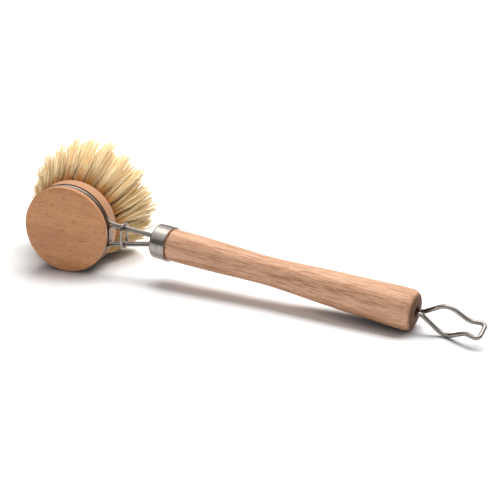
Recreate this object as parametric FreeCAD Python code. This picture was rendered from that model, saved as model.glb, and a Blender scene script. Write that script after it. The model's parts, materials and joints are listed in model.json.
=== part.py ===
import FreeCAD, Part
import math
import os

# Dish brush with an exchangeable round head, lying on a table as it was set down.
# Millimetres and degrees. +Z is up, +X runs along the handle from the head to the tail.

# Head: a turned disc that stands on its rim, with a wire groove round it
head_diameter = 50.0
head_thickness = 15.6
front_lip = 2.9
groove_width = 4.4
groove_depth = 1.9
head_edge_round = 1.2

# Tufts: fibres folded over a flat anchor and set in drilled holes in rings
ring_counts = (1, 7, 14, 21)
ring_radius_shares = (0.0, 0.29, 0.57, 0.84)
ring_tip_shares = (0.0, 0.335, 0.665, 1.0)
ring_first_angles = (0.0, 12.0, 6.0, 1.4)
tip_ring_radius = 34.0
fan_rise = 3.4
fan_swing = 2.3
bristle_length = 29.0
tuft_hole_diameter = 4.8
tuft_hole_depth = 9.0
tuft_tip_diameter = 9.2
tuft_room = 0.05
hole_lean_share = 0.5
table_room = 0.4
anchor_width = 3.8
anchor_height = 2.4
anchor_thickness = 0.5
anchor_room = 0.05

# How the handle stands to the head
handle_lean_angle = 9.6
axis_setback = 17.8
head_sag = 0.9
ferrule_stand_off = 53.2

# Spring wire of the two bows
wire_diameter = 1.5
wire_gap = 0.1
wire_place_share = 0.7
hoop_room = 0.05
bridge_room = 0.95
arm_spread_at_head = 12.4
arm_spread_at_ferrule = 4.3
exit_run = 3.5
bridge_bend_radius = 2.4
ferrule_bend_radius = 6.0
bend_set_in = 0.2
tail_depth = 26.0
tail_end_room = 1.0
slot_room = 0.05

# Lock ring: a loose oval link round both arms
ring_wire_diameter = 1.4
ring_limb_spacing = 7.5
ring_room = 0.25
ring_station_share = 0.34
ring_tilt_angle = 8.5

# Ferrule: a drawn band with an inturned front lip and a rolled rear bead
ferrule_diameter = 19.6
ferrule_length = 9.8
ferrule_wall = 0.6
ferrule_lip_round = 1.6
ferrule_lip_width = 2.7
bead_width = 0.9
bead_height = 0.2

# Handle: turned, with a tenon in the ferrule, a waist and a full tail
handle_body_length = 144.0
neck_diameter = 17.9
waist_diameter = 15.4
tail_diameter = 21.6
tail_round = 4.4
neck_station_shares = (0.08, 0.19, 0.30)
neck_swell_shares = (0.95, 0.74, 0.30)
waist_station_share = 0.41
tail_station_shares = (0.52, 0.635, 0.75, 0.86)
tail_swell_shares = (0.17, 0.46, 0.68, 0.88)
tenon_room = 0.05
tenon_setback = 2.2
neck_cut = 0.3
shoulder_round = 1.2

# Hang loop: one wire, waisted like a fish, twisted and leaning to the front, with two legs in the tail bore
loop_wire_diameter = 2.4
loop_length = 35.2
loop_shoulder_width = 18.7
loop_waist_width = 6.6
loop_end_width = 11.2
loop_shoulder_share = 0.45
loop_waist_share = 0.775
loop_leg_twist = 75.0
loop_shoulder_twist = -7.5
loop_waist_twist = 41.4
loop_end_twist = 66.0
loop_lean_angle = 4.4
loop_neck = 3.2
loop_neck_radius = 4.0
loop_shoulder_radius = 8.0
loop_waist_radius = 10.0
loop_corner_radius = 2.1
leg_depth = 20.0
leg_gap = 0.1
leg_room = 0.05
bore_end_room = 1.0
bore_mouth_chamfer = 0.5

# One overrun serves all cuts, and a run shorter than the least run is left out
overrun = 1.0
least_run = 0.001

V = FreeCAD.Vector
AXIS_X = V(1, 0, 0)
AXIS_Z = V(0, 0, 1)

# Sizes that follow from the driving ones
head_radius = head_diameter / 2
groove_floor_radius = head_radius - groove_depth
wire_seat = front_lip + groove_width * wire_place_share
wire_radius = wire_diameter / 2
wire_pitch = wire_diameter + wire_gap
hoop_radius = groove_floor_radius + hoop_room + wire_radius
tail_radius = tail_diameter / 2
ferrule_radius = ferrule_diameter / 2
ferrule_rear = ferrule_stand_off + ferrule_length
tail_end = ferrule_rear + handle_body_length
tail_contact = tail_end - tail_round
tenon_front = ferrule_stand_off + tenon_setback
tenon_radius = ferrule_radius - ferrule_wall - tenon_room
leg_offset = (loop_wire_diameter + leg_gap) / 2
bore_radius = leg_offset + loop_wire_diameter / 2 + leg_room
outer_arm_at_ferrule = (arm_spread_at_ferrule + wire_pitch) / 2
outer_arm_at_head = (arm_spread_at_head + wire_pitch) / 2

# The handle's axis passes over the head's centre by the head's sag
# and drops until the tail meets the table
axis_height = head_radius + head_sag
tail_rise = math.atan2(tail_radius, tail_contact)
drop = math.asin(axis_height / math.hypot(tail_contact, tail_radius)) - tail_rise
lean = math.radians(handle_lean_angle)
to_tail = V(math.cos(drop), 0, -math.sin(drop))
to_bristles = V(-math.sin(lean), math.cos(lean), 0)
to_front = to_bristles * -1
spread = to_tail.cross(to_bristles).normalize()
across = spread.cross(to_tail)
level = AXIS_Z.cross(to_front)
axes_meet = V(0, 0, axis_height)
head_front = V(0, 0, head_radius) - to_bristles * axis_setback
ferrule_middle = axes_meet + to_tail * ferrule_stand_off
reach = ferrule_middle - head_front
to_handle = (reach - to_bristles * reach.dot(to_bristles)).normalize()
head_spread = to_handle.cross(to_bristles)


def handle_point(along, sideways, up):
    """A place measured along the handle's axis from where it meets the head's axis."""
    return axes_meet + to_tail * along + across * sideways + spread * up


def head_point(out, up, forward):
    """A place measured from the middle of the head's front face, towards the handle and up."""
    return head_front + to_handle * out + head_spread * up + to_front * forward


def set_in(shape, origin, x_axis, y_axis, z_axis):
    """The shape moved from its own axes to the given ones."""
    row_x = (x_axis.x, y_axis.x, z_axis.x, origin.x)
    row_y = (x_axis.y, y_axis.y, z_axis.y, origin.y)
    row_z = (x_axis.z, y_axis.z, z_axis.z, origin.z)
    moved = shape.copy()
    place = FreeCAD.Placement(FreeCAD.Matrix(*row_x, *row_y, *row_z, 0, 0, 0, 1))
    moved.Placement = place.multiply(shape.Placement)
    return moved


def on_handle(shape):
    return set_in(shape, axes_meet, to_tail, across, spread)


def on_head(shape):
    return set_in(shape, head_front, level, AXIS_Z, to_front)


def line(start, end):
    return Part.LineSegment(start, end).toShape()


def arc(start, middle, end):
    return Part.Arc(start, middle, end).toShape()


def quarter(centre, start, end):
    """A quarter arc about a centre, between two points at one distance from it."""
    way = (start + end) / 2 - centre
    return arc(start, centre + way.normalize() * (start - centre).Length, end)


def turned(edges, axis):
    """The solid of revolution of a closed outline."""
    return Part.Face(Part.Wire(edges)).revolve(V(0, 0, 0), axis, 360)


def corner_arc(before, corner, after, radius):
    """First point, middle and last point of the arc that rounds a corner of a route."""
    back = (before - corner).normalize()
    ahead = (after - corner).normalize()
    half_turn = (math.pi - back.getAngle(ahead)) / 2
    run = radius * math.tan(half_turn)
    depth = radius / math.cos(half_turn) - radius
    return corner + back * run, corner + (back + ahead).normalize() * depth, corner + ahead * run


def rounded_route(points, radii):
    """Straight runs joined by tangent arcs."""
    edges = []
    start = points[0]
    for before, corner, after, radius in zip(points, points[1:], points[2:], radii):
        first, middle, last = corner_arc(before, corner, after, radius)
        if (first - start).Length > least_run:
            edges.append(line(start, first))
        edges.append(arc(first, middle, last))
        start = last
    if (points[-1] - start).Length > least_run:
        edges.append(line(start, points[-1]))
    return edges


def bent_wire(edges, diameter):
    """Round wire along a route."""
    start = edges[0].valueAt(edges[0].FirstParameter)
    direction = edges[0].tangentAt(edges[0].FirstParameter)
    section = Part.Wire(Part.Circle(start, direction, diameter / 2).toShape())
    return Part.Wire(edges).makePipeShell([section], True, False)


def oval_edges(middle, long_way, short_way, half_run, radius):
    """Two straight limbs and two half-round ends about a middle."""
    top, bottom = middle + long_way * half_run, middle - long_way * half_run
    near, far = short_way * -radius, short_way * radius
    return [
        line(bottom + near, top + near),
        arc(top + near, top + long_way * radius, top + far),
        line(top + far, bottom + far),
        arc(bottom + far, bottom - long_way * radius, bottom + near),
    ]


# Ferrule
def make_ferrule():
    inner = ferrule_radius - ferrule_wall
    lip_radius = ferrule_radius - ferrule_lip_width
    front = ferrule_stand_off
    round_end = front + ferrule_lip_round
    round_centre = V(round_end, 0, ferrule_radius - ferrule_lip_round)
    bead_start = ferrule_rear - bead_width
    bead_middle = V(bead_start + bead_width / 2, 0, ferrule_radius + bead_height)
    outline = [
        arc(V(ferrule_rear, 0, ferrule_radius), bead_middle, V(bead_start, 0, ferrule_radius)),
        line(V(bead_start, 0, ferrule_radius), V(round_end, 0, ferrule_radius)),
        quarter(round_centre, V(round_end, 0, ferrule_radius), V(front, 0, round_centre.z)),
        line(V(front, 0, round_centre.z), V(front, 0, lip_radius)),
        line(V(front, 0, lip_radius), V(front + ferrule_wall, 0, lip_radius)),
        line(V(front + ferrule_wall, 0, lip_radius), V(front + ferrule_wall, 0, round_centre.z)),
        quarter(round_centre, V(front + ferrule_wall, 0, round_centre.z), V(round_end, 0, inner)),
        line(V(round_end, 0, inner), V(ferrule_rear, 0, inner)),
        line(V(ferrule_rear, 0, inner), V(ferrule_rear, 0, ferrule_radius)),
    ]
    return on_handle(turned(outline, AXIS_X))


# Handle
def handle_swell():
    """The turned outline from the shoulder to the tail, as one curve."""
    neck, waist = neck_diameter / 2, waist_diameter / 2
    places = [V(ferrule_rear + shoulder_round, 0, neck)]
    for station, swell in zip(neck_station_shares, neck_swell_shares):
        radius = waist + (neck - waist) * swell
        places.append(V(ferrule_rear + handle_body_length * station, 0, radius))
    places.append(V(ferrule_rear + handle_body_length * waist_station_share, 0, waist))
    for station, swell in zip(tail_station_shares, tail_swell_shares):
        radius = waist + (tail_radius - waist) * swell
        places.append(V(ferrule_rear + handle_body_length * station, 0, radius))
    places.append(V(tail_contact, 0, tail_radius))
    curve = Part.BSplineCurve()
    curve.interpolate(Points=places, InitialTangent=AXIS_X, FinalTangent=AXIS_X)
    return curve.toShape()


def wire_slot(side):
    """Slot in the tenon that takes the two tails of one arm."""
    middle = V(tenon_front - overrun, 0, side * arm_spread_at_ferrule / 2)
    section = oval_edges(middle, AXIS_Z, V(0, 1, 0), wire_pitch / 2, wire_radius + slot_room)
    depth = ferrule_stand_off + tail_depth + tail_end_room - middle.x
    return Part.Face(Part.Wire(section)).extrude(V(depth, 0, 0))


def make_handle():
    neck = neck_diameter / 2
    cut_start = ferrule_rear - neck_cut
    cut_radius = neck - shoulder_round
    shoulder = V(ferrule_rear + shoulder_round, 0, neck)
    end_radius = tail_radius - tail_round
    tail_edge = V(tail_contact, 0, tail_radius)
    outline = [
        line(V(tenon_front, 0, 0), V(tenon_front, 0, tenon_radius)),
        line(V(tenon_front, 0, tenon_radius), V(cut_start, 0, tenon_radius)),
        line(V(cut_start, 0, tenon_radius), V(cut_start, 0, cut_radius)),
        line(V(cut_start, 0, cut_radius), V(ferrule_rear, 0, cut_radius)),
        quarter(V(shoulder.x, 0, cut_radius), V(ferrule_rear, 0, cut_radius), shoulder),
        handle_swell(),
        quarter(V(tail_contact, 0, end_radius), tail_edge, V(tail_end, 0, end_radius)),
        line(V(tail_end, 0, end_radius), V(tail_end, 0, 0)),
        line(V(tail_end, 0, 0), V(tenon_front, 0, 0)),
    ]
    body = turned(outline, AXIS_X)
    bore_depth = leg_depth + bore_end_room
    bore = Part.makeCylinder(bore_radius, bore_depth + overrun, V(tail_end - bore_depth, 0, 0), AXIS_X)
    mouth_start = V(tail_end - bore_mouth_chamfer, 0, 0)
    mouth_radius = bore_radius + bore_mouth_chamfer
    mouth = Part.makeCone(bore_radius, mouth_radius, bore_mouth_chamfer, mouth_start, AXIS_X)
    return on_handle(body.cut([wire_slot(1), wire_slot(-1), bore, mouth]))


# Bows of spring wire
def hoop_corner():
    """Angle where the hoop leaves its circle, and the corner where the arm's line meets its tangent."""
    reach = math.hypot(hoop_radius, exit_run)
    angle = math.asin(outer_arm_at_head / reach) + math.atan2(exit_run, hoop_radius)
    out = hoop_radius * math.cos(angle) + exit_run * math.sin(angle)
    return angle, out


def make_hoop_wire():
    angle, out = hoop_corner()
    halves = []
    for side in (1, -1):
        tail = handle_point(ferrule_stand_off + tail_depth, 0, side * outer_arm_at_ferrule)
        bend = handle_point(ferrule_stand_off + bend_set_in, 0, side * outer_arm_at_ferrule)
        corner = head_point(out, side * outer_arm_at_head, -wire_seat)
        leave_up = side * hoop_radius * math.sin(angle)
        leave = head_point(hoop_radius * math.cos(angle), leave_up, -wire_seat)
        half_turn = (math.pi - (bend - corner).getAngle(leave - corner)) / 2
        halves.append(([tail, bend, corner, leave], [ferrule_bend_radius, exit_run / math.tan(half_turn)]))
    (upper, upper_radii), (lower, lower_radii) = halves
    far_side = head_point(-hoop_radius, 0, -wire_seat)
    route = rounded_route(upper, upper_radii)
    route.append(arc(upper[-1], far_side, lower[-1]))
    route += rounded_route(lower[::-1], lower_radii[::-1])
    return bent_wire(route, wire_diameter)


def bridge_points():
    """Route of the inner bow: its arms lie one wire inside the outer arms."""
    bridge_out = groove_floor_radius + bridge_room + wire_radius
    corner_out = hoop_corner()[1]
    points = []
    for side in (1, -1):
        inner = side * (outer_arm_at_ferrule - wire_pitch)
        tail = handle_point(ferrule_stand_off + tail_depth, 0, inner)
        bend = handle_point(ferrule_stand_off + bend_set_in, 0, inner)
        start = head_point(corner_out, side * (outer_arm_at_head - wire_pitch), -wire_seat)
        arm = bend - start
        step = arm * ((bridge_out - corner_out) / arm.dot(to_handle))
        corner = start + step - to_bristles * step.dot(to_bristles)
        half = [tail, bend, corner]
        points += half if side > 0 else half[::-1]
    return points


def make_bridge_wire():
    radii = (ferrule_bend_radius, bridge_bend_radius, bridge_bend_radius, ferrule_bend_radius)
    return bent_wire(rounded_route(bridge_points(), radii), wire_diameter)


# Lock ring
def arm_middle(share):
    """Middle between the arms, from the head's groove at 0 to the ferrule at 1."""
    start = head_point(hoop_corner()[1], 0, -wire_seat)
    end = handle_point(ferrule_stand_off + bend_set_in, 0, 0)
    return start + (end - start) * share


def make_lock_ring():
    slide_way = (arm_middle(1) - arm_middle(0)).normalize()
    tilt = math.radians(ring_tilt_angle)
    long_way = (spread - slide_way * spread.dot(slide_way)).normalize()
    through = long_way.cross(slide_way) * math.cos(tilt) + slide_way * math.sin(tilt)
    arm_half = outer_arm_at_head + (outer_arm_at_ferrule - outer_arm_at_head) * ring_station_share
    half_length = arm_half + wire_radius + ring_room + ring_wire_diameter / 2
    end_radius = ring_limb_spacing / 2
    middle = arm_middle(ring_station_share)
    edges = oval_edges(middle, long_way, through, half_length - end_radius, end_radius)
    return bent_wire(edges, ring_wire_diameter)


# Hang loop
def make_hang_loop():
    leg_width = leg_offset * 2
    loop_slope = math.tan(math.radians(loop_lean_angle))
    stations = (
        (-leg_depth, leg_width, loop_leg_twist),
        (loop_neck, leg_width, loop_leg_twist),
        (loop_length * loop_shoulder_share, loop_shoulder_width, loop_shoulder_twist),
        (loop_length * loop_waist_share, loop_waist_width, loop_waist_twist),
        (loop_length, loop_end_width, loop_end_twist),
    )
    branches = []
    for side in (1, -1):
        branch = []
        for along, width, twist in stations:
            turn = math.radians(twist)
            reach = side * width / 2
            aside = reach * math.sin(turn) - loop_slope * max(along - loop_neck, 0)
            branch.append(handle_point(tail_end + along, aside, reach * math.cos(turn)))
        branches.append(branch)
    bends = (loop_neck_radius, loop_shoulder_radius, loop_waist_radius, loop_corner_radius)
    route = rounded_route(branches[0] + branches[1][::-1], bends + bends[::-1])
    return bent_wire(route, loop_wire_diameter)


# Head and tufts, in axes on the head's front face: level, up, and out of the face
def ring_places():
    """Ring number, place in the ring, and unit direction of every tuft."""
    for ring, (count, first) in enumerate(zip(ring_counts, ring_first_angles)):
        for place in range(count):
            angle = math.radians(first + 360 * place / count)
            yield ring, place, V(math.cos(angle), math.sin(angle), 0)


def mouth_place(ring, way):
    """Middle of a tuft hole in the head's rear face."""
    return way * (head_radius * ring_radius_shares[ring]) - AXIS_Z * head_thickness


def hole_place(ring, way, depth):
    """Middle of a tuft hole, so deep below the rear face."""
    fan = tip_ring_radius * ring_tip_shares[ring] - head_radius * ring_radius_shares[ring]
    slope = hole_lean_share * fan / bristle_length
    return mouth_place(ring, way) + AXIS_Z * depth - way * (slope * depth)


def pressed(height):
    """Height of a fibre tip over the head's axis, with the lower fan pressed flat on the table."""
    lowest = tip_ring_radius + tuft_tip_diameter / 2 - fan_rise
    press = (lowest - (head_radius - table_room)) / lowest ** 2
    return height + press * height ** 2 if height < 0 else height


def oval_wire(middle, half_width, half_height):
    return Part.Wire(Part.Ellipse(middle, half_width, half_height).toShape())


def round_wire(middle, radius):
    return oval_wire(middle, radius, radius)


def anchor_block(ring, way, room):
    """Flat anchor on the floor of a tuft hole, set along its ring."""
    size = V(anchor_thickness, anchor_width, anchor_height) + V(room, room, room) * 2
    floor = hole_place(ring, way, tuft_hole_depth - tuft_room)
    block = Part.makeBox(size.x, size.y, size.z, V(-size.x / 2, -size.y / 2, room - size.z))
    return set_in(block, floor, way, AXIS_Z.cross(way), AXIS_Z)


def make_tuft(ring, way):
    root_radius = tuft_hole_diameter / 2 - tuft_room
    tip_radius = tuft_tip_diameter / 2
    tip = way * (tip_ring_radius * ring_tip_shares[ring]) + V(-fan_swing, fan_rise, 0)
    top, bottom = pressed(tip.y + tip_radius), pressed(tip.y - tip_radius)
    tip_middle = V(tip.x, (top + bottom) / 2, -head_thickness - bristle_length)
    sections = [
        round_wire(hole_place(ring, way, tuft_hole_depth - tuft_room), root_radius),
        round_wire(mouth_place(ring, way), root_radius),
        oval_wire(tip_middle, tip_radius, min(tip_radius, (top - bottom) / 2)),
    ]
    tuft = Part.makeLoft(sections, True, True)
    return on_head(tuft.cut(anchor_block(ring, way, anchor_room)))


def make_head_disc():
    rim = head_radius
    groove_end = front_lip + groove_width
    edge = rim - head_edge_round
    rear_edge = head_edge_round - head_thickness
    outline = [
        line(V(0, 0, 0), V(edge, 0, 0)),
        quarter(V(edge, 0, -head_edge_round), V(edge, 0, 0), V(rim, 0, -head_edge_round)),
        line(V(rim, 0, -head_edge_round), V(rim, 0, -front_lip)),
        line(V(rim, 0, -front_lip), V(groove_floor_radius, 0, -front_lip)),
        line(V(groove_floor_radius, 0, -front_lip), V(groove_floor_radius, 0, -groove_end)),
        line(V(groove_floor_radius, 0, -groove_end), V(rim, 0, -groove_end)),
        line(V(rim, 0, -groove_end), V(rim, 0, rear_edge)),
        quarter(V(edge, 0, rear_edge), V(rim, 0, rear_edge), V(edge, 0, -head_thickness)),
        line(V(edge, 0, -head_thickness), V(0, 0, -head_thickness)),
        line(V(0, 0, -head_thickness), V(0, 0, 0)),
    ]
    holes = []
    for ring, place, way in ring_places():
        bottom = round_wire(hole_place(ring, way, tuft_hole_depth), tuft_hole_diameter / 2)
        beyond = round_wire(hole_place(ring, way, -overrun), tuft_hole_diameter / 2)
        holes.append(Part.makeLoft([bottom, beyond], True, True))
    return on_head(turned(outline, AXIS_Z).cut(holes))


def make_tuft_anchors():
    return Part.makeCompound([on_head(anchor_block(ring, way, 0)) for ring, place, way in ring_places()])


parts = {
    "handle": make_handle(),
    "ferrule": make_ferrule(),
    "hoop_wire": make_hoop_wire(),
    "bridge_wire": make_bridge_wire(),
    "lock_ring": make_lock_ring(),
    "hang_loop": make_hang_loop(),
    "head_disc": make_head_disc(),
    "tuft_anchors": make_tuft_anchors(),
}
ring_names = ("centre", "inner", "middle", "outer")
for ring, place, way in ring_places():
    parts["tuft_%s_%02d" % (ring_names[ring], place + 1)] = make_tuft(ring, way)

# The origin lies on the table, under the middle of the whole brush
box = Part.makeCompound(list(parts.values())).optimalBoundingBox(False, False)
to_origin = V(-box.Center.x, -box.Center.y, 0)
os.makedirs("parts", exist_ok=True)
for name, shape in parts.items():
    shape.translate(to_origin)
    shape.exportStep("parts/%s.step" % name)
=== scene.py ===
import json
import math

import bpy
from bpy.props import FloatProperty, FloatVectorProperty, IntProperty, PointerProperty
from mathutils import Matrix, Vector


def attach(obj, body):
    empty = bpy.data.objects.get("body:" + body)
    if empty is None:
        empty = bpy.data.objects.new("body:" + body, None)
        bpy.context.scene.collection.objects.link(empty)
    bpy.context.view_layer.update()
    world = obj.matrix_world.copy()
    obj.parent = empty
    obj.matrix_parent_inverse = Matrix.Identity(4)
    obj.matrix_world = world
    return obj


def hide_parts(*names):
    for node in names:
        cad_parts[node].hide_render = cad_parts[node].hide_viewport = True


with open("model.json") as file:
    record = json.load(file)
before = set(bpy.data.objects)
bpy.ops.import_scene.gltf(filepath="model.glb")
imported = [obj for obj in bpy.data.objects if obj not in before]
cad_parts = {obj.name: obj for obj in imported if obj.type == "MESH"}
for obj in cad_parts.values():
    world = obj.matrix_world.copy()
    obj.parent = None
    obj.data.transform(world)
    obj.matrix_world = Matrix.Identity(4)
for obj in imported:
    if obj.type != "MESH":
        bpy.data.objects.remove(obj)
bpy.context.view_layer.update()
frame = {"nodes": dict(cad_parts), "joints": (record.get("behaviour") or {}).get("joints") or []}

bl_info = {
    "name": "Dish Brush Looks",
    "version": (1, 0, 0),
    "blender": (4, 5, 0),
    "location": "View3D > Sidebar > Dish Brush",
    "description": "Dresses a beech dish brush with its wood, steel and plant fibres",
    "category": "Object",
}

# Places of the head and the handle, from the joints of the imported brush
JOINTS = {joint["name"]: joint for joint in frame["joints"]}
HEAD_FRONT = Vector(JOINTS["head_turn"]["pos_m"])
BRISTLE_WAY = Vector(JOINTS["head_turn"]["axis"])
TAIL_MIDDLE = Vector(JOINTS["loop_turn"]["pos_m"])
HANDLE_WAY = Vector(JOINTS["loop_turn"]["axis"])
UP = Vector((0, 0, 1))
LEVEL = UP.cross(-BRISTLE_WAY)
TUFT_NODES = sorted(name for name in frame["nodes"]
                    if name.startswith("tuft_") and name != "tuft_anchors")

# How the grain lies: along the handle, and nearly level across the head
HEAD_GRAIN_TILT = math.radians(7)
HEAD_TURN = (0, HEAD_GRAIN_TILT, math.atan2(LEVEL.y, LEVEL.x))
HANDLE_TURN = (0, math.atan2(-HANDLE_WAY.z, HANDLE_WAY.x), 0)

# Features of the beech per metre, along the grain first. Streaks count per streak spacing
WANDER_SCALES = (22, 60, 60)
PATCH_SCALES = (28, 110, 110)
FINE_SCALES = (60, 1700, 1700)
FLECK_SCALES = (300, 2100, 2100)
STREAK_SCALES = (0.02, 1.0, 0.35)

# How far streaks and flecks wander off a straight line
WANDER_REACH = (0, 0.0035, 0.0015)

# Noise between which a streak, a fine line and a fleck fade in
STREAK_LIMITS = (0.36, 0.68)
FINE_LIMITS = (0.44, 0.62)
FLECK_LIMITS = (0.55, 0.72)

# What patches add to the dark wood, fine lines and the painted shade mask to the roughness, and flecks
# to the relief
PATCH_SHARE = 0.5
FINE_ROUGHENS = 0.25
PAINTED_SHADE_ROUGHENS = 0.5
FLECK_RELIEF = -0.5
WOOD_BUMP = {"Strength": 0.25, "Distance": 0.0001}
WOOD_SPECULAR = 0.7

# End grain at the tail, painted darker, partly by its own tone and partly as painted shade on the face
# turned from the light: where it starts and is full, along the handle, and how strong it is
TAIL_LIMITS = (-0.0018, -0.0002)
TAIL_SHARE = 0.9

# The painted shade in the head's groove and the painted sheen on its rim: depth behind the front face,
# radius, and how strong they are
GROOVE_DEPTHS = (0.0029, 0.0073)
GROOVE_SOFTNESS = 0.0002
GROOVE_RADII = (0.0249, 0.0242)
GROOVE_SHARE = 0.95
RIM_DEPTHS = (0.0004, 0.0014)
RIM_RADII = (0.0235, 0.0248)
RIM_SHARE = 0.65

# Lines and stains of the steel: features per metre, what they add to its roughness, and a stain's tone
LINE_SCALES = (9000, 120, 120)
STAIN_SCALES = (260, 260, 260)
LINES_ROUGHEN = 0.2
STAINS_ROUGHEN = 0.16
STAIN_LIMITS = (0.35, 0.75)
STAIN_TONE = 0.8
STEEL_BUMP = {"Strength": 0.15, "Distance": 0.00005}
FERRULE_LINES = 1.0
WIRE_LINES = 0.0

# Rings of tufts: how many, where their holes and tips lie, and where each ring starts
RING_COUNTS = (1, 7, 14, 21)
RING_RADIUS_SHARES = (0.0, 0.29, 0.57, 0.84)
RING_TIP_SHARES = (0.0, 0.335, 0.665, 1.0)
RING_FIRST_ANGLES = (0.0, 12.0, 6.0, 1.4)

# One strand, of length 1 and thickness 1, and how much further a stray one leans out
STRAND_SHAPE = {"Vertices": 3, "Side Segments": 2, "Radius Top": 0.34, "Radius Bottom": 0.5,
                "Depth": 1.0}
STRAY_REACH = 3.6

# How much a fibre bends by itself, next to its wisp, and how much of its tone is its own
OWN_BEND = 0.5
OWN_TONE = 0.5

# Random draws of the fibres, as offsets from the seed
DRAWS = {
    "wisp_angle": 1, "wisp_reach": 2, "stray": 3, "nudge": 4, "cut": 5, "bend": 6, "tone": 7,
    "roll": 8, "wisp_tone": 9, "wisp_bend": 10, "fibre_angle": 11, "fibre_reach": 12,
}
ANY_WAY = ((-1, -1, -1), (1, 1, 1))
ANY_FLAT_WAY = ((-1, -1, 0), (1, 1, 0))

# Mottles of the fibres per metre, tones between which they turn pale, and how far up from the foot of
# the tufts the painted shade goes
MOTTLE_SCALES = (420, 420, 420)
MOTTLE_SHARE = 0.5
PALE_TONES = (0.03, 0.53)
ROOT_SHADE_LIMITS = (0.02, 0.46)
FIBRE_ROUGHNESS = 0.42
TONE_ROUGHENS = 0.2
FIBRE_SPECULAR = 0.1

# The studio that the steel mirrors: its bright side, where it turns soft and bright, and the levels
BRIGHT_SIDE = (-0.1, 0.15, 0.98)
SOFT_LIMITS = (0.25, 0.75)
BRIGHT_LIMITS = (0.84, 0.95)
DIM_STUDIO = (0.12, 0.11, 0.1)
SOFT_STUDIO = (1.0, 0.99, 0.98)
BRIGHT_STUDIO = (3.2, 3.18, 3.15)

# Half the length of the floor's middle, along the brush, and the distances from it over which the
# floor whitens. A mirrored floor whitens only towards the far side
FLOOR_MIDDLE = 0.12
FLOOR_WHITENS = (0.06, 0.28)
FAR_SIDE = (-0.47, 0.88, 0)
FAR_SIDE_WHITENS = (0.1, 1.0)
# Samples of the ambient occlusion that paints shade on the floor near the brush
PAINTED_SHADE_SAMPLES = 8
CAMERA_NEAR = 0.01

# Colours and numbered sockets of nodes
WHITE = (1, 1, 1)
BLACK = (0, 0, 0)
MIX_INPUTS = (0, 6, 7)
MIX_RESULT = 2
RANDOM_SOCKETS = {"FLOAT_VECTOR": (0, 0), "FLOAT": (2, 1)}


# Small helpers for properties
def shade(red, green, blue):
    """A colour as it looks on screen, from 0 to 255, in the linear values that shaders take."""
    parts = [part / 255 for part in (red, green, blue)]
    return tuple(p / 12.92 if p <= 0.04045 else ((p + 0.055) / 1.055) ** 2.4 for p in parts)


def colour_prop(name, description, red, green, blue):
    return FloatVectorProperty(name=name, description=description, subtype="COLOR", size=3,
                               min=0, max=1, default=shade(red, green, blue))


def length_prop(name, description, default):
    return FloatProperty(name=name, description=description, default=default, min=0,
                         unit="LENGTH", precision=5)


def share_prop(name, description, default):
    return FloatProperty(name=name, description=description, default=default, min=0, max=1,
                         subtype="FACTOR")


def count_prop(name, description, default, least):
    return IntProperty(name=name, description=description, default=default, min=least)


def power_prop(name, description, default):
    return FloatProperty(name=name, description=description, default=default, unit="POWER")


def place_prop(name, description, default):
    return FloatVectorProperty(name=name, description=description, default=default,
                               subtype="TRANSLATION", unit="LENGTH")


class DishBrushBeech(bpy.types.PropertyGroup):
    """Colours and grain of the turned beech, with the colours of its painted shade and painted sheen"""
    handle_light: colour_prop("Handle light", "Pale wood of the handle", 225, 178, 143)
    handle_dark: colour_prop("Handle dark", "Darker growth streaks of the handle", 158, 103, 68)
    head_light: colour_prop("Head light", "Pale wood of the head", 211, 148, 96)
    head_dark: colour_prop("Head dark", "Darker growth streaks of the head", 168, 106, 62)
    fleck: colour_prop("Fleck", "Short reddish flecks in the wood", 150, 76, 36)
    # Painted sheen: paler, less saturated wood round the head's rim, standing for light from above
    rim: colour_prop("Rim", "Turned wood round the head's rim", 174, 134, 108)
    # Painted shade: dark wood in the groove, and on the tail's end grain, which is also darker by its
    # own tone
    painted_shade: colour_prop("Shaded", "Wood in the groove and end grain of the tail", 84, 54, 36)
    streak_spacing: length_prop("Streak spacing", "Usual distance between growth streaks", 0.0022)
    handle_flecks: share_prop("Handle flecks", "How strongly flecks show on the handle", 0.3)
    head_flecks: share_prop("Head flecks", "How strongly flecks show on the head", 0.55)
    handle_lines: share_prop("Handle lines", "How strongly fine lines show on the handle", 0.6)
    head_lines: share_prop("Head lines", "How strongly fine lines show on the head", 0.25)
    handle_streaks: share_prop("Handle streaks", "How strongly streaks show on the handle", 0.32)
    head_streaks: share_prop("Head streaks", "How strongly streaks show on the head", 0.3)
    roughness: share_prop("Roughness", "Mean roughness of the waxed wood", 0.42)


class DishBrushSteel(bpy.types.PropertyGroup):
    """Colours and polish of the steel"""
    band: colour_prop("Ferrule", "Satin steel of the ferrule", 174, 168, 161)
    wire: colour_prop("Wire", "Bright drawn wire", 164, 158, 152)
    band_roughness: share_prop("Ferrule roughness", "Mean roughness of the ferrule", 0.28)
    wire_roughness: share_prop("Wire roughness", "Mean roughness of the wires", 0.09)


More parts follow.
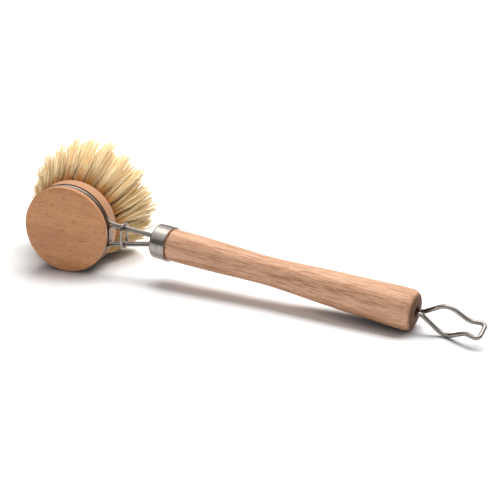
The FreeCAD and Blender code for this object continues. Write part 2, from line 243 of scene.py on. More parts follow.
class DishBrushFibres(bpy.types.PropertyGroup):
    """Sizes and colours of the plant fibres"""
    tip_colour: colour_prop("Tip", "Pale cream fibres", 255, 232, 187)
    mid_colour: colour_prop("Middle", "Straw fibres", 255, 200, 116)
    # Painted shade: deep orange at the foot of the tufts, where the fibres crowd and shade each other
    root_painted_shade: colour_prop("Root", "Amber at the foot of the tufts", 216, 142, 56)
    wisps: count_prop("Wisps per tuft", "Wisps that a tuft parts into", 17, 1)
    per_wisp: count_prop("Fibres per wisp", "Fibre ends in one wisp", 10, 1)
    seed: count_prop("Seed", "Fixed start of all random values", 7, 0)
    diameter: length_prop("Diameter", "Thickness of one fibre", 0.0005)
    wisp_size: share_prop("Wisp size", "Width of a wisp as a share of its tuft", 0.15)
    hole_radius: length_prop("Hole radius", "Radius of a tuft where it leaves the head", 0.0021)
    tip_radius: length_prop("Tip radius", "Radius of a tuft at its tips", 0.0054)
    head_radius: length_prop("Head radius", "Radius of the wooden head", 0.025)
    head_thickness: length_prop("Head thickness", "From the front face to the fibres", 0.0156)
    tip_ring_radius: length_prop("Tip ring", "Radius of the outer ring at its tips", 0.034)
    fan_rise: length_prop("Fan rise", "How far the tips have set upwards", 0.0034)
    fan_swing: length_prop("Fan swing", "How far the tips have set away from the handle", 0.0023)
    length: length_prop("Length", "Fibre length past the head", 0.029)
    length_spread: length_prop("Length spread", "How unevenly the tips are cut", 0.004)
    set_depth: length_prop("Set depth", "How far the drawn fibres run into their holes", 0.002)
    bow: length_prop("Bow", "How far a fibre bends off its straight line", 0.0007)
    jitter: share_prop("Jitter", "How far tips stray from their place in the tuft", 0.3)
    stray_share: share_prop("Strays", "Share of fibres that stick out of their tuft", 0.07)
    table_room: length_prop("Table room", "Height of the lowest fibres on the table", 0.0004)


class DishBrushStage(bpy.types.PropertyGroup):
    """Floor, light and camera"""
    floor: colour_prop("Floor", "Pale floor", 236, 235, 234)
    floor_size: length_prop("Floor size", "Side of the floor", 12.0)
    floor_lift: share_prop("Floor lift", "White that the seen floor gives by itself", 0.02)
    # Painted shade: how near the brush an ambient occlusion node darkens the floor
    painted_shade_reach: length_prop("Contact reach", "How near the brush the floor darkens", 0.007)
    world_level: share_prop("World level", "Plain light from all round", 0.25)
    key_power: power_prop("Key", "Power of the softbox above and behind", 17.0)
    key_place: place_prop("Key place", "Middle of the softbox", (0.0, 0.42, 0.93))
    key_width: length_prop("Key width", "Width of the softbox", 1.3)
    key_depth: length_prop("Key depth", "Depth of the softbox", 0.6)
    fill_power: power_prop("Fill", "Power of the low light in front", 2.9)
    fill_place: place_prop("Fill place", "Middle of the low light", (0.35, -1.15, 0.35))
    fill_size: length_prop("Fill size", "Side of the low light", 0.9)
    camera_place: place_prop("Camera place", "Where the camera stands", (0.29456, -0.53227, 0.2520))
    camera_turn: FloatVectorProperty(
        name="Camera turn", description="How the camera is turned", subtype="EULER",
        unit="ROTATION", default=(math.radians(69.34), 0, math.radians(28.18)))
    camera_lens: FloatProperty(name="Lens", description="Focal length", default=86.4, unit="CAMERA")


# Small helpers for node trees
def feed(tree, made, inputs):
    """Links a node's inputs to the sockets given, and sets them to anything else that is given."""
    for key, value in inputs.items():
        if isinstance(value, bpy.types.NodeSocket):
            tree.links.new(value, made.inputs[key])
        else:
            made.inputs[key].default_value = value


def add(tree, kind, inputs=None, **settings):
    """A new node with its settings and inputs."""
    made = tree.nodes.new(kind)
    for name, value in settings.items():
        setattr(made, name, value)
    feed(tree, made, inputs or {})
    return made


def new_group(name, kind, inputs, outputs):
    """An empty node group, with its input sockets and its output node. Sockets are listed by kind."""
    tree = bpy.data.node_groups.new(name, kind)
    for way, sockets in (("INPUT", inputs), ("OUTPUT", outputs)):
        for socket_type, titles in sockets.items():
            for title in titles:
                tree.interface.new_socket(title, in_out=way, socket_type=socket_type)
    return tree, tree.nodes.new("NodeGroupInput").outputs, tree.nodes.new("NodeGroupOutput")


def maths(tree, operation, first, second=0.0, third=0.0):
    inputs = {0: first, 1: second, 2: third}
    return add(tree, "ShaderNodeMath", inputs, operation=operation).outputs[0]


def vectors(tree, operation, first, second):
    inputs = {0: first, 1: second}
    return add(tree, "ShaderNodeVectorMath", inputs, operation=operation).outputs["Vector"]


def scaled(tree, vector, factor):
    inputs = {"Vector": vector, "Scale": factor}
    return add(tree, "ShaderNodeVectorMath", inputs, operation="SCALE").outputs["Vector"]


def dot(tree, first, second):
    inputs = {0: first, 1: second}
    return add(tree, "ShaderNodeVectorMath", inputs, operation="DOT_PRODUCT").outputs["Value"]


def size_of(tree, vector):
    return add(tree, "ShaderNodeVectorMath", {0: vector}, operation="LENGTH").outputs["Value"]


def parts_of(tree, vector):
    return add(tree, "ShaderNodeSeparateXYZ", {0: vector}).outputs


def joined(tree, x, y, z=0.0):
    return add(tree, "ShaderNodeCombineXYZ", {"X": x, "Y": y, "Z": z}).outputs["Vector"]


def smooth_step(tree, value, low, high):
    """0 below low and 1 above high, with a soft change between them."""
    inputs = {"Value": value, "From Min": low, "From Max": high}
    made = add(tree, "ShaderNodeMapRange", inputs, interpolation_type="SMOOTHSTEP")
    return made.outputs["Result"]


def between(tree, value, low, high, soft):
    """1 from low to high and 0 outside, with soft ends."""
    return maths(tree, "MULTIPLY", smooth_step(tree, value, low - soft, low + soft),
                 smooth_step(tree, value, high + soft, high - soft))


def mixed(tree, factor, first, second):
    """A mix of two colours, each a socket or three values."""
    colours = [value if isinstance(value, bpy.types.NodeSocket) else (*value, 1)
               for value in (first, second)]
    inputs = dict(zip(MIX_INPUTS, (factor, *colours)))
    return add(tree, "ShaderNodeMix", inputs, data_type="RGBA").outputs[MIX_RESULT]


def noise(tree, vector, scales, detail=2.0, roughness=0.5):
    """Soft noise, so many features per metre along each axis."""
    stretched = vectors(tree, "MULTIPLY", vector, scales)
    inputs = {"Vector": stretched, "Scale": 1.0, "Detail": detail, "Roughness": roughness}
    return add(tree, "ShaderNodeTexNoise", inputs).outputs["Fac"]


def varied(tree, base, noise_value, share):
    """A value that noise, about its middle of a half, moves up and down by a share."""
    centred = maths(tree, "SUBTRACT", noise_value, 0.5)
    return maths(tree, "MULTIPLY_ADD", centred, share, base)


def bump(tree, height, relief):
    return add(tree, "ShaderNodeBump", {"Height": height, **relief}).outputs["Normal"]


def mirrored_ray(tree, path):
    """1 for what a reflection or a clear piece shows."""
    return maths(tree, "MAXIMUM", path["Is Glossy Ray"], path["Is Transmission Ray"])


def new_material(name):
    """A material with an empty Principled shader, and a socket of Object coordinates."""
    material = bpy.data.materials.new(name)
    material.use_nodes = True
    tree = material.node_tree
    tree.nodes.clear()
    shader = tree.nodes.new("ShaderNodeBsdfPrincipled")
    add(tree, "ShaderNodeOutputMaterial", {"Surface": shader.outputs["BSDF"]})
    place = tree.nodes.new("ShaderNodeTexCoord").outputs["Object"]
    return material, tree, shader, place


def on_piece(tree, place, middle, turn):
    """Object coordinates measured from a piece's own middle, along its own axes."""
    inputs = {"Vector": place, "Location": middle, "Rotation": turn}
    return add(tree, "ShaderNodeMapping", inputs, vector_type="TEXTURE").outputs["Vector"]


def dress(material, *names):
    """Gives CAD nodes their material."""
    for name in names:
        mesh = frame["nodes"][name].data
        mesh.materials.clear()
        mesh.materials.append(material)


# Wood
def beech_grain():
    """Growth streaks, fine fibre and flecks of beech, with the grain along X."""
    tree, come, give = new_group(
        "beech_grain", "ShaderNodeTree",
        {"NodeSocketVector": ("Vector",), "NodeSocketColor": ("Light", "Dark", "Fleck"),
         "NodeSocketFloat": ("Streak Spacing", "Fleck Share", "Line Share", "Streak Share",
                             "Roughness")},
        {"NodeSocketColor": ("Colour",), "NodeSocketFloat": ("Roughness", "Height")})
    place = come["Vector"]
    wander = maths(tree, "SUBTRACT", noise(tree, place, WANDER_SCALES, detail=1.0), 0.5)
    pushed = vectors(tree, "ADD", place, scaled(tree, WANDER_REACH, wander))
    across = scaled(tree, pushed, maths(tree, "DIVIDE", 1.0, come["Streak Spacing"]))
    streaks = noise(tree, across, STREAK_SCALES, roughness=0.55)
    fine = noise(tree, place, FINE_SCALES, detail=3.0, roughness=0.6)
    patch = noise(tree, place, PATCH_SCALES)
    flecks = noise(tree, pushed, FLECK_SCALES, detail=1.0, roughness=0.4)
    fleck_mask = smooth_step(tree, flecks, *FLECK_LIMITS)
    streak_mask = smooth_step(tree, streaks, *STREAK_LIMITS)
    fine_mask = smooth_step(tree, fine, *FINE_LIMITS)
    dark = maths(tree, "MULTIPLY", streak_mask, come["Streak Share"])
    dark = maths(tree, "MULTIPLY_ADD", fine_mask, come["Line Share"], dark)
    dark = varied(tree, dark, patch, PATCH_SHARE)
    fleck_share = maths(tree, "MULTIPLY", fleck_mask, come["Fleck Share"])
    wood = mixed(tree, dark, come["Light"], come["Dark"])
    feed(tree, give, {
        "Colour": mixed(tree, fleck_share, wood, come["Fleck"]),
        "Roughness": varied(tree, come["Roughness"], fine, FINE_ROUGHENS),
        "Height": maths(tree, "MULTIPLY_ADD", fleck_mask, FLECK_RELIEF, fine)})
    return tree


def beech_material(name, light, dark, middle, turn, shares, painted_shade_mask, painted_sheen_mask=None):
    """Beech with its grain along a piece's own X axis, with painted shade darker and painted sheen
    paler where the masks say.
    """
    looks = bpy.context.scene.dish_brush_beech
    grain = bpy.data.node_groups.get("beech_grain") or beech_grain()
    material, tree, shader, place = new_material(name)
    local = on_piece(tree, place, middle, turn)
    inputs = {"Vector": local, "Light": (*light, 1), "Dark": (*dark, 1),
              "Fleck": (*looks.fleck, 1), "Streak Spacing": looks.streak_spacing,
              "Roughness": looks.roughness, **shares}
    wood = add(tree, "ShaderNodeGroup", node_tree=grain)
    feed(tree, wood, inputs)
    colour = wood.outputs["Colour"]
    # Painted sheen: a paler colour round the head's rim
    if painted_sheen_mask:
        colour = mixed(tree, painted_sheen_mask(tree, local), colour, looks.rim)
    # Painted shade: a darker colour in the groove and on the tail's end grain
    painted_shade = painted_shade_mask(tree, local)
    roughness = maths(tree, "MULTIPLY_ADD", painted_shade, PAINTED_SHADE_ROUGHENS, wood.outputs["Roughness"])
    feed(tree, shader, {
        "Base Color": mixed(tree, painted_shade, colour, looks.painted_shade), "Roughness": roughness,
        "Normal": bump(tree, wood.outputs["Height"], WOOD_BUMP),
        "Specular IOR Level": WOOD_SPECULAR})
    return material


def tail_end_grain_and_shade_mask(tree, local):
    """The end grain of the tail, painted darker: partly the end grain's own tone, partly painted shade.
    """
    along = parts_of(tree, local)["X"]
    return maths(tree, "MULTIPLY", smooth_step(tree, along, *TAIL_LIMITS), TAIL_SHARE)


def head_depth_and_radius(tree, local):
    """How far a point of the head lies behind the front face, and from the middle line."""
    flat = vectors(tree, "MULTIPLY", local, (1, 0, 1))
    return parts_of(tree, local)["Y"], size_of(tree, flat)


def groove_painted_shade_mask(tree, local):
    """The groove in the head's rim, painted dark as a painted shade."""
    depth, radius = head_depth_and_radius(tree, local)
    inside = maths(tree, "MULTIPLY", between(tree, depth, *GROOVE_DEPTHS, GROOVE_SOFTNESS),
                   smooth_step(tree, radius, *GROOVE_RADII))
    return maths(tree, "MULTIPLY", inside, GROOVE_SHARE)


def rim_painted_sheen_mask(tree, local):
    """The head's turned rim, behind its front edge, painted paler as a painted sheen."""
    depth, radius = head_depth_and_radius(tree, local)
    outside = maths(tree, "MULTIPLY", smooth_step(tree, depth, *RIM_DEPTHS),
                    smooth_step(tree, radius, *RIM_RADII))
    return maths(tree, "MULTIPLY", outside, RIM_SHARE)


class DISHBRUSH_OT_dress_handle(bpy.types.Operator):
    """Give the turned handle its beech"""
    bl_idname = "dishbrush.dress_handle"
    bl_label = "Dress Handle"

    def execute(self, context):
        looks = context.scene.dish_brush_beech
        shares = {"Fleck Share": looks.handle_flecks, "Line Share": looks.handle_lines,
                  "Streak Share": looks.handle_streaks}
        material = beech_material("handle_beech", looks.handle_light, looks.handle_dark,
                                  TAIL_MIDDLE, HANDLE_TURN, shares, tail_end_grain_and_shade_mask)
        dress(material, "handle")
        return {"FINISHED"}


class DISHBRUSH_OT_dress_head(bpy.types.Operator):
    """Give the round head its beech"""
    bl_idname = "dishbrush.dress_head"
    bl_label = "Dress Head"

    def execute(self, context):
        looks = context.scene.dish_brush_beech
        shares = {"Fleck Share": looks.head_flecks, "Line Share": looks.head_lines,
                  "Streak Share": looks.head_streaks}
        material = beech_material("head_beech", looks.head_light, looks.head_dark,
                                  HEAD_FRONT, HEAD_TURN, shares, groove_painted_shade_mask, rim_painted_sheen_mask)
        dress(material, "head_disc")
        return {"FINISHED"}


# Steel
def steel_polish():
    """Faint lines and stains of worked steel. The lines run round the piece's X axis."""
    tree, come, give = new_group(
        "steel_polish", "ShaderNodeTree",
        {"NodeSocketVector": ("Vector",), "NodeSocketColor": ("Steel",),
         "NodeSocketFloat": ("Roughness", "Lines")},
        {"NodeSocketColor": ("Colour",), "NodeSocketFloat": ("Roughness", "Height")})
    lines = noise(tree, come["Vector"], LINE_SCALES)
    stains = noise(tree, come["Vector"], STAIN_SCALES, detail=3.0)
    relief = maths(tree, "MULTIPLY", maths(tree, "SUBTRACT", lines, 0.5), come["Lines"])
    roughness = varied(tree, come["Roughness"], stains, STAINS_ROUGHEN)
    stained = scaled(tree, come["Steel"], STAIN_TONE)
    stain_mask = smooth_step(tree, stains, *STAIN_LIMITS)
    feed(tree, give, {
        "Colour": mixed(tree, stain_mask, come["Steel"], stained),
        "Roughness": maths(tree, "MULTIPLY_ADD", relief, LINES_ROUGHEN, roughness),
        "Height": relief})
    return tree


def steel_material(name, steel, roughness, lines):
    """Steel with its faint lines round the handle's axis."""
    polish = bpy.data.node_groups.get("steel_polish") or steel_polish()
    material, tree, shader, place = new_material(name)
    local = on_piece(tree, place, TAIL_MIDDLE, HANDLE_TURN)
    metal = add(tree, "ShaderNodeGroup", node_tree=polish)
    feed(tree, metal, {"Vector": local, "Steel": (*steel, 1), "Roughness": roughness,
                       "Lines": lines})
    feed(tree, shader, {
        "Base Color": metal.outputs["Colour"], "Roughness": metal.outputs["Roughness"],
        "Normal": bump(tree, metal.outputs["Height"], STEEL_BUMP), "Metallic": 1.0})
    return material


class DISHBRUSH_OT_dress_ferrule(bpy.types.Operator):
    """Give the ferrule its satin steel"""
    bl_idname = "dishbrush.dress_ferrule"
    bl_label = "Dress Ferrule"

    def execute(self, context):
        looks = context.scene.dish_brush_steel
        dress(steel_material("ferrule_steel", looks.band, looks.band_roughness, FERRULE_LINES),
              "ferrule")
        return {"FINISHED"}


class DISHBRUSH_OT_dress_wires(bpy.types.Operator):
    """Give the bows, the lock ring, the hang loop and the anchors their bright wire"""
    bl_idname = "dishbrush.dress_wires"
    bl_label = "Dress Wires"

    def execute(self, context):
        looks = context.scene.dish_brush_steel
        dress(steel_material("wire_steel", looks.wire, looks.wire_roughness, WIRE_LINES),
              "hoop_wire", "bridge_wire", "lock_ring", "hang_loop", "tuft_anchors")
        return {"FINISHED"}


# Fibres
def fibre_material():
    """Straw and cream fibres, each with its own tone, with a painted shade of deep orange towards the
    foot of the tufts.
    """
    looks = bpy.context.scene.dish_brush_fibres
    material, tree, shader, place = new_material("plant_fibre")
    along = add(tree, "ShaderNodeAttribute", attribute_name="along").outputs["Fac"]
    tone = add(tree, "ShaderNodeAttribute", attribute_name="tone").outputs["Fac"]
    paleness = varied(tree, tone, noise(tree, place, MOTTLE_SCALES), MOTTLE_SHARE)
    pale = smooth_step(tree, paleness, *PALE_TONES)
    # Painted shade: deep orange towards the foot of the tufts
    root_shade = maths(tree, "SUBTRACT", 1.0, smooth_step(tree, along, *ROOT_SHADE_LIMITS))
    fibre = mixed(tree, pale, looks.mid_colour, looks.tip_colour)
    feed(tree, shader, {
        "Base Color": mixed(tree, root_shade, fibre, looks.root_painted_shade),
        "Roughness": maths(tree, "MULTIPLY_ADD", tone, TONE_ROUGHENS, FIBRE_ROUGHNESS),
        "Specular IOR Level": FIBRE_SPECULAR})
    return material


def named(tree, name, kind="FLOAT_VECTOR"):
    made = add(tree, "GeometryNodeInputNamedAttribute", {"Name": name}, data_type=kind)
    return made.outputs["Attribute"]


def keep(tree, geometry, name, value, kind="FLOAT_VECTOR"):
    """Stores a value on each point under a name."""
    inputs = {"Geometry": geometry, "Name": name, "Value": value}
    made = add(tree, "GeometryNodeStoreNamedAttribute", inputs, data_type=kind, domain="POINT")
    return made.outputs["Geometry"]


def position(tree):
    return add(tree, "GeometryNodeInputPosition").outputs["Position"]


def moved(tree, geometry, title, value):
    """Geometry with its points set to a Position or moved by an Offset."""
    inputs = {"Geometry": geometry, title: value}
    return add(tree, "GeometryNodeSetPosition", inputs).outputs["Geometry"]


def repeated(tree, geometry, amount):
    inputs = {"Geometry": geometry, "Amount": amount}
    return add(tree, "GeometryNodeDuplicateElements", inputs, domain="POINT").outputs["Geometry"]


def chance(tree, come, draw, low, high):
    """A random value or vector for each point."""
    kind = "FLOAT_VECTOR" if isinstance(low, tuple) else "FLOAT"
    first, result = RANDOM_SOCKETS[kind]
    seed = maths(tree, "ADD", come["Seed"], DRAWS[draw])
    inputs = {first: low, first + 1: high, "Seed": seed}
    return add(tree, "FunctionNodeRandomValue", inputs, data_type=kind).outputs[result]


def round_place(tree, come, what):
    """A random place in a flat round of radius 1."""
    angle = chance(tree, come, what + "_angle", 0.0, math.tau)
    reach = maths(tree, "SQRT", chance(tree, come, what + "_reach", 0.0, 1.0))
    return joined(tree, maths(tree, "MULTIPLY", reach, maths(tree, "COSINE", angle)),
                  maths(tree, "MULTIPLY", reach, maths(tree, "SINE", angle)))


def in_tuft(tree, come, flat, radius):
    """A flat place as a way across a tuft of that radius, on the level and up."""
    parts = parts_of(tree, flat)
    across = vectors(tree, "ADD", scaled(tree, come["Level"], parts["X"]),
                     scaled(tree, UP, parts["Y"]))
    return scaled(tree, across, radius)


def part_tufts(tree, come):
    """Parts every tuft into wisps, and every wisp into fibres."""
    wisps = repeated(tree, come["Geometry"], come["Wisps per Tuft"])
    wisps = keep(tree, wisps, "wisp", round_place(tree, come, "wisp"))
    wisps = keep(tree, wisps, "wisp_tone", chance(tree, come, "wisp_tone", 0.0, 1.0), "FLOAT")
    bend = scaled(tree, chance(tree, come, "wisp_bend", *ANY_WAY), come["Bow"])
    wisps = keep(tree, wisps, "wisp_bend", bend)
    return repeated(tree, wisps, come["Fibres per Wisp"])


def aim_fibres(tree, come, fibres):
    """Puts every fibre's foot in the hole, and aims it at its place in the tuft's wider end."""
    spread = scaled(tree, round_place(tree, come, "fibre"), come["Wisp Size"])
    flat = vectors(tree, "ADD", named(tree, "wisp"), spread)
    foot = vectors(tree, "ADD", position(tree), in_tuft(tree, come, flat, come["Hole Radius"]))
    stray = maths(tree, "LESS_THAN", chance(tree, come, "stray", 0.0, 1.0), come["Stray Share"])
    reach = maths(tree, "MULTIPLY_ADD", stray, STRAY_REACH, 1.0)
    loose = maths(tree, "MULTIPLY", come["Jitter"], reach)
    nudge = scaled(tree, chance(tree, come, "nudge", *ANY_FLAT_WAY), loose)
    flat = vectors(tree, "ADD", flat, nudge)
    tip = vectors(tree, "ADD", named(tree, "tuft_tip"),
                  in_tuft(tree, come, flat, come["Tip Radius"]))
    cut = maths(tree, "MULTIPLY", come["Length Spread"], chance(tree, come, "cut", -1.0, 1.0))
    tip = vectors(tree, "ADD", tip, scaled(tree, come["Bristle Way"], cut))

    # The table presses the lower tips flat
    height = dot(tree, vectors(tree, "SUBTRACT", tip, come["Head Middle"]), UP)
    below = maths(tree, "MINIMUM", height, 0.0)
    lift = maths(tree, "MULTIPLY", maths(tree, "MULTIPLY", below, below), come["Press"])
    tip = vectors(tree, "ADD", tip, scaled(tree, UP, lift))

    # What a fibre needs is kept on its point before the point moves
    fibres = keep(tree, fibres, "foot", foot)
    fibres = keep(tree, fibres, "way", vectors(tree, "SUBTRACT", tip, foot))
    own_bow = maths(tree, "MULTIPLY", come["Bow"], OWN_BEND)
    own_bend = scaled(tree, chance(tree, come, "bend", *ANY_WAY), own_bow)
    bend = vectors(tree, "ADD", named(tree, "wisp_bend"), own_bend)
    fibres = keep(tree, fibres, "bend", bend)
    own_tone = maths(tree, "MULTIPLY", chance(tree, come, "tone", 0.0, 1.0), OWN_TONE)
    wisp_tone = named(tree, "wisp_tone", "FLOAT")
    tone = maths(tree, "MULTIPLY_ADD", wisp_tone, 1 - OWN_TONE, own_tone)
    fibres = keep(tree, fibres, "tone", tone, "FLOAT")
    return moved(tree, fibres, "Position", named(tree, "foot"))


def grow_strands(tree, come, fibres):
    """Turns and stretches one low tapered strand along every fibre's way."""
    strand = add(tree, "GeometryNodeMeshCone", STRAND_SHAPE, fill_type="NGON").outputs["Mesh"]
    strand = keep(tree, strand, "along", parts_of(tree, position(tree))["Z"], "FLOAT")
    way = named(tree, "way")
    axes = {"Primary Axis": way, "Secondary Axis": chance(tree, come, "roll", *ANY_WAY)}
    turn = add(tree, "FunctionNodeAxesToRotation", axes, primary_axis="Z", secondary_axis="X")
    size = joined(tree, come["Diameter"], come["Diameter"], size_of(tree, way))
    inputs = {"Points": fibres, "Instance": strand, "Rotation": turn.outputs["Rotation"],
              "Scale": size}
    strands = add(tree, "GeometryNodeInstanceOnPoints", inputs).outputs["Instances"]
    return add(tree, "GeometryNodeRealizeInstances", {"Geometry": strands}).outputs["Geometry"]


def bend_strands(tree, come, strands):
    """Bends each strand off its line, in full at its middle, and keeps it above the table."""
    along = named(tree, "along", "FLOAT")
    hump = maths(tree, "MULTIPLY", along, maths(tree, "SUBTRACT", 1.0, along))
    hump = maths(tree, "MULTIPLY", hump, 4.0)
    strands = moved(tree, strands, "Offset", scaled(tree, named(tree, "bend"), hump))
    at = parts_of(tree, position(tree))
    height = maths(tree, "MAXIMUM", at["Z"], come["Table Room"])
    return moved(tree, strands, "Position", joined(tree, at["X"], at["Y"], height))


def fibre_tree():
    """Grows fibres from the feet of the tufts: each has its own place, length, bend and tone."""
    tree, come, give = new_group(
        "fibre_tufts", "GeometryNodeTree",
        {"NodeSocketGeometry": ("Geometry",),
         "NodeSocketInt": ("Wisps per Tuft", "Fibres per Wisp", "Seed"),
         "NodeSocketFloat": ("Diameter", "Wisp Size", "Hole Radius", "Tip Radius", "Length Spread",
                             "Bow", "Jitter", "Stray Share", "Press", "Table Room"),
         "NodeSocketVector": ("Head Middle", "Level", "Bristle Way"),
         "NodeSocketMaterial": ("Material",)},
        {"NodeSocketGeometry": ("Geometry",)})
    fibres = aim_fibres(tree, come, part_tufts(tree, come))
    strands = bend_strands(tree, come, grow_strands(tree, come, fibres))
    strands = add(tree, "GeometryNodeSetShadeSmooth", {"Geometry": strands}).outputs["Geometry"]
    inputs = {"Geometry": strands, "Material": come["Material"]}
    strands = add(tree, "GeometryNodeSetMaterial", inputs).outputs["Geometry"]
    feed(tree, give, {"Geometry": strands})
    return tree


def tuft_feet(looks):
    """A mesh with one point in each tuft hole, which carries the middle of that tuft's tips."""
    mouth = HEAD_FRONT + BRISTLE_WAY * (looks.head_thickness - looks.set_depth)
    end = HEAD_FRONT + BRISTLE_WAY * (looks.head_thickness + looks.length)
    set_off = UP * looks.fan_rise - LEVEL * looks.fan_swing
    feet, tips = [], []
    rings = zip(RING_COUNTS, RING_RADIUS_SHARES, RING_TIP_SHARES, RING_FIRST_ANGLES)
    for count, radius_share, tip_share, first in rings:
        for place in range(count):
            angle = math.radians(first + 360 * place / count)
            way = LEVEL * math.cos(angle) + UP * math.sin(angle)
            feet.append(mouth + way * (looks.head_radius * radius_share))
            tips.append(end + set_off + way * (looks.tip_ring_radius * tip_share))
    mesh = bpy.data.meshes.new("tuft_feet")
    mesh.from_pydata(feet, [], [])
    tip_data = mesh.attributes.new("tuft_tip", "FLOAT_VECTOR", "POINT").data
    for point, tip in zip(tip_data, tips):
        point.vector = tip
    return mesh


class DISHBRUSH_OT_grow_fibres(bpy.types.Operator):
    """Grow the plant fibres in place of the plain tufts"""
    bl_idname = "dishbrush.grow_fibres"
    bl_label = "Grow Fibres"

    def execute(self, context):
        looks = context.scene.dish_brush_fibres
        feet = bpy.data.objects.new("tuft_feet", tuft_feet(looks))
        context.scene.collection.objects.link(feet)
        tree = fibre_tree()
        lowest = looks.tip_ring_radius + looks.tip_radius - looks.fan_rise
        press = (lowest - (looks.head_radius - looks.table_room)) / lowest ** 2
        values = {
            "Wisps per Tuft": looks.wisps, "Fibres per Wisp": looks.per_wisp, "Seed": looks.seed,
            "Diameter": looks.diameter, "Wisp Size": looks.wisp_size,
            "Hole Radius": looks.hole_radius, "Tip Radius": looks.tip_radius,
            "Length Spread": looks.length_spread, "Bow": looks.bow, "Jitter": looks.jitter,
            "Stray Share": looks.stray_share, "Press": press, "Table Room": looks.table_room,
            "Head Middle": HEAD_FRONT, "Level": LEVEL, "Bristle Way": BRISTLE_WAY,
            "Material": fibre_material(),
        }
        modifier = feet.modifiers.new("fibres", "NODES")
        modifier.node_group = tree
        for socket in tree.interface.items_tree:
            if socket.in_out == "INPUT" and socket.name in values:
                modifier[socket.identifier] = values[socket.name]
        graph = context.evaluated_depsgraph_get()
        grown = bpy.data.meshes.new_from_object(feet.evaluated_get(graph))
        bpy.data.objects.remove(feet)
        if not grown.polygons:
            raise RuntimeError("the tufts grew no fibres")
        fibres = bpy.data.objects.new("bristle_fibres", grown)
        context.scene.collection.objects.link(fibres)
        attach(fibres, "head")
        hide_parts(*TUFT_NODES)
        return {"FINISHED"}


# Stage
def set_world(looks):
    """White for the camera, a studio with a bright side for the steel, and plain light for the rest."""
    world = bpy.data.worlds.new("studio")
    bpy.context.scene.world = world
    world.use_nodes = True
    tree = world.node_tree
    tree.nodes.clear()
    path = tree.nodes.new("ShaderNodeLightPath").outputs
    way = tree.nodes.new("ShaderNodeTexCoord").outputs["Generated"]
    toward = dot(tree, way, BRIGHT_SIDE)
    studio = mixed(tree, smooth_step(tree, toward, *SOFT_LIMITS), DIM_STUDIO, SOFT_STUDIO)
    studio = mixed(tree, smooth_step(tree, toward, *BRIGHT_LIMITS), studio, BRIGHT_STUDIO)

    def background(colour, strength):
        inputs = {"Color": colour, "Strength": strength}
        return add(tree, "ShaderNodeBackground", inputs).outputs[0]

    def either(factor, first, second):
        return add(tree, "ShaderNodeMixShader", {0: factor, 1: first, 2: second}).outputs[0]

    light = either(mirrored_ray(tree, path), background((*WHITE, 1), looks.world_level),
                   background(studio, 1.0))
    seen = either(path["Is Camera Ray"], light, background((*WHITE, 1), 1.0))
    add(tree, "ShaderNodeOutputWorld", {"Surface": seen})


def floor_material(looks):
    """A pale floor that takes the brush's shadow, darkened near the brush by painted shade from an
    ambient occlusion node, and that looks white further off.
    """
    material, tree, shader, place = new_material("floor")
    path = tree.nodes.new("ShaderNodeLightPath").outputs
    seen = path["Is Camera Ray"]
    at = parts_of(tree, place)
    past_end = maths(tree, "SUBTRACT", maths(tree, "ABSOLUTE", at["X"]), FLOOR_MIDDLE)
    past_end = maths(tree, "MAXIMUM", past_end, 0.0)
    distance = size_of(tree, joined(tree, past_end, at["Y"]))
    far_side = smooth_step(tree, dot(tree, place, FAR_SIDE), *FAR_SIDE_WHITENS)
    far_side = maths(tree, "MULTIPLY", mirrored_ray(tree, path), far_side)
    white = maths(tree, "MULTIPLY", smooth_step(tree, distance, *FLOOR_WHITENS),
                  maths(tree, "MAXIMUM", seen, far_side))
    lift = maths(tree, "MAXIMUM", white, maths(tree, "MULTIPLY", seen, looks.floor_lift))
    # Painted shade: an ambient occlusion node darkens the floor's colour near the brush
    painted_contact_shade = add(tree, "ShaderNodeAmbientOcclusion", {"Distance": looks.painted_shade_reach},
                  samples=PAINTED_SHADE_SAMPLES).outputs["AO"]
    pale = mixed(tree, seen, looks.floor, WHITE)
    feed(tree, shader, {
        "Base Color": mixed(tree, painted_contact_shade, BLACK, pale), "Roughness": 1.0,
        "Specular IOR Level": 0.0, "Emission Color": (*WHITE, 1), "Emission Strength": lift})
    return material


def add_lamp(name, power, width, depth, place):
    """A flat lamp that faces the brush and shows in no reflection."""
    lamp = bpy.data.objects.new(name, bpy.data.lights.new(name, "AREA"))
    lamp.data.energy = power
    lamp.data.shape = "RECTANGLE"
    lamp.data.size = width
    lamp.data.size_y = depth
    lamp.visible_glossy = False
    lamp.location = place
    lamp.rotation_euler = (-lamp.location).to_track_quat("-Z", "Y").to_euler()
    bpy.context.scene.collection.objects.link(lamp)


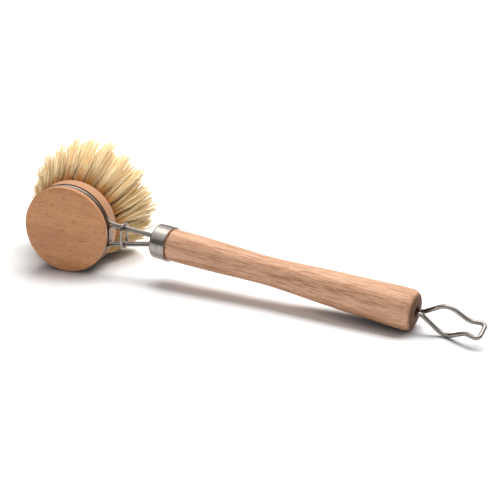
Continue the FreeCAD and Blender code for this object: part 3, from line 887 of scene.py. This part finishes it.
class DISHBRUSH_OT_set_stage(bpy.types.Operator):
    """Set the floor, the light and the camera"""
    bl_idname = "dishbrush.set_stage"
    bl_label = "Set Stage"

    def execute(self, context):
        looks = context.scene.dish_brush_stage
        scene = context.scene
        scene.view_settings.view_transform = "Standard"
        set_world(looks)
        half = looks.floor_size / 2
        corners = [(-half, -half, 0), (half, -half, 0), (half, half, 0), (-half, half, 0)]
        mesh = bpy.data.meshes.new("floor")
        mesh.from_pydata(corners, [], [(0, 1, 2, 3)])
        mesh.materials.append(floor_material(looks))
        floor = bpy.data.objects.new("floor", mesh)
        scene.collection.objects.link(floor)

        add_lamp("softbox", looks.key_power, looks.key_width, looks.key_depth, looks.key_place)
        add_lamp("low_light", looks.fill_power, looks.fill_size, looks.fill_size, looks.fill_place)

        camera = bpy.data.objects.new("camera", bpy.data.cameras.new("camera"))
        camera.data.lens = looks.camera_lens
        camera.data.clip_start = CAMERA_NEAR
        camera.location = looks.camera_place
        camera.rotation_euler = looks.camera_turn
        scene.collection.objects.link(camera)
        scene.camera = camera
        return {"FINISHED"}


class DISHBRUSH_PT_looks(bpy.types.Panel):
    """Lists the steps that dress the brush, and what they use"""
    bl_idname = "DISHBRUSH_PT_looks"
    bl_label = "Dish Brush"
    bl_space_type = "VIEW_3D"
    bl_region_type = "UI"
    bl_category = "Dish Brush"

    def draw(self, context):
        for operator in OPERATORS:
            self.layout.operator(operator.bl_idname)
        for name, group in LOOKS.items():
            looks = getattr(context.scene, name)
            box = self.layout.box()
            for title in group.__annotations__:
                box.prop(looks, title)


LOOKS = {
    "dish_brush_beech": DishBrushBeech,
    "dish_brush_steel": DishBrushSteel,
    "dish_brush_fibres": DishBrushFibres,
    "dish_brush_stage": DishBrushStage,
}
OPERATORS = (
    DISHBRUSH_OT_dress_handle,
    DISHBRUSH_OT_dress_head,
    DISHBRUSH_OT_dress_ferrule,
    DISHBRUSH_OT_dress_wires,
    DISHBRUSH_OT_grow_fibres,
    DISHBRUSH_OT_set_stage,
)


def register():
    for kind in (*LOOKS.values(), *OPERATORS, DISHBRUSH_PT_looks):
        bpy.utils.register_class(kind)
    for name, group in LOOKS.items():
        setattr(bpy.types.Scene, name, PointerProperty(type=group))


def unregister():
    for name in LOOKS:
        delattr(bpy.types.Scene, name)
    for kind in reversed((*LOOKS.values(), *OPERATORS, DISHBRUSH_PT_looks)):
        bpy.utils.unregister_class(kind)


def main():
    register()
    bpy.ops.dishbrush.dress_handle()
    bpy.ops.dishbrush.dress_head()
    bpy.ops.dishbrush.dress_ferrule()
    bpy.ops.dishbrush.dress_wires()
    bpy.ops.dishbrush.grow_fibres()
    bpy.ops.dishbrush.set_stage()


if __name__ == "__main__":
    main()
